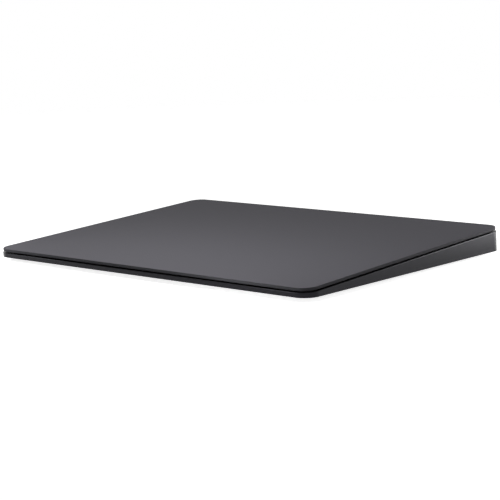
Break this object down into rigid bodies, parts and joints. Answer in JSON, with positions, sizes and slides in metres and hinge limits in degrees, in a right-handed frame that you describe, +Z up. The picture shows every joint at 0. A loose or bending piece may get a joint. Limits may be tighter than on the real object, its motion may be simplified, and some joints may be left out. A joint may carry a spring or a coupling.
{
  "type": "trackpad",
  "caption": "Wireless desktop trackpad: a thin wedge-shaped metal housing with a floating glass touch plate, haptic force springs, rear charging socket and power slider.",
  "frame": {"origin": "middle of the footprint, on the desk under the feet", "axes": "+X to the user's right, +Y away from the user to the rear wall, +Z up from the desk"},
  "size_m": [0.16, 0.1148, 0.0109],
  "materials": {
    "glass_top": "etched matte glass, backed in opaque space grey",
    "anodised_shell": "fine blasted and anodised space grey",
    "cover_plastic": "fine moulded texture",
    "foot_rubber": "soft matte",
    "foam": "black closed-cell foam",
    "adhesive": "black acrylic tape",
    "gel": "translucent gel, shown opaque",
    "board_green": "dark solder mask",
    "spring_steel": "fine grain, stamped",
    "zinc_steel": "bright zinc",
    "nickel": "plain nickel",
    "copper": "enamelled copper winding",
    "gold_contact": "gold flash",
    "cell_foil": "black laminated foil pouch",
    "polyimide": "amber film",
    "black_plastic": "moulded black",
    "chip_resin": "epoxy",
    "white_ceramic": "fired",
    "green_paint": "bright green"
  },
  "bodies": {
    "base": {"housing": "anodised_shell", "bottom_cover": "cover_plastic", "cover_tape": "adhesive", "rim_gasket": "foam", "strain_gauges": "polyimide", "flexure_screws": "zinc_steel", "haptic_bracket": "spring_steel", "haptic_screws": "zinc_steel", "battery_cell": "cell_foil", "battery_tape": "adhesive", "battery_board": "board_green", "battery_lead": "polyimide", "logic_board": "board_green", "board_shield": "nickel", "board_chips": "chip_resin", "board_plugs": "black_plastic", "board_socket": "black_plastic", "antenna": "white_ceramic", "board_screws": "zinc_steel", "charging_port_shell": "spring_steel", "port_contacts": "gold_contact", "port_strap": "spring_steel", "port_screws": "zinc_steel", "switch_carrier": "black_plastic", "switch_body": "black_plastic", "port_ribbon": "polyimide", "switch_ribbon": "polyimide", "gauge_ribbon_left": "polyimide", "gauge_ribbon_right": "polyimide", "touch_ribbon": "polyimide", "coil_left": "copper", "coil_right": "copper", "foot_front_left": "foot_rubber", "flexure_front_left": "spring_steel", "foot_front_right": "foot_rubber", "flexure_front_right": "spring_steel", "foot_rear_left": "foot_rubber", "flexure_rear_left": "spring_steel", "foot_rear_right": "foot_rubber", "flexure_rear_right": "spring_steel"},
    "spring_carriage": {"gel_pad_front_left": "gel", "gel_pad_front_right": "gel", "gel_pad_rear_left": "gel", "gel_pad_rear_right": "gel"},
    "touch_plate": {"touch_glass": "glass_top", "bond_film": "adhesive", "sensor_board": "board_green", "touch_controller": "chip_resin", "sensor_connector": "black_plastic", "armature_plate": "spring_steel", "magnet_left": "nickel", "magnet_right": "nickel", "load_pad_front_left": "spring_steel", "load_pad_front_right": "spring_steel", "load_pad_rear_left": "spring_steel", "load_pad_rear_right": "spring_steel"},
    "power_switch": {"power_slider": "black_plastic", "switch_on_marker": "green_paint", "switch_nub": "black_plastic"}
  },
  "joints": [
    {"name": "press", "type": "slide", "parent": "base", "child": "spring_carriage", "axis": [0, 0.0521, -0.9986], "range_m": [0, 0.00025], "stiffness_N_per_m": 8000, "springref_m": -0.0002, "deforming": ["flexure_front_left", "flexure_front_right", "flexure_rear_left", "flexure_rear_right", "touch_ribbon"]},
    {"name": "haptic_shift", "type": "slide", "parent": "spring_carriage", "child": "touch_plate", "axis": [1, 0, 0], "range_m": [-0.0001, 0.0001], "stiffness_N_per_m": 5000},
    {"name": "power_slide", "type": "slide", "parent": "base", "child": "power_switch", "axis": [1, 0, 0], "range_m": [0, 0.0024]}
  ]
}
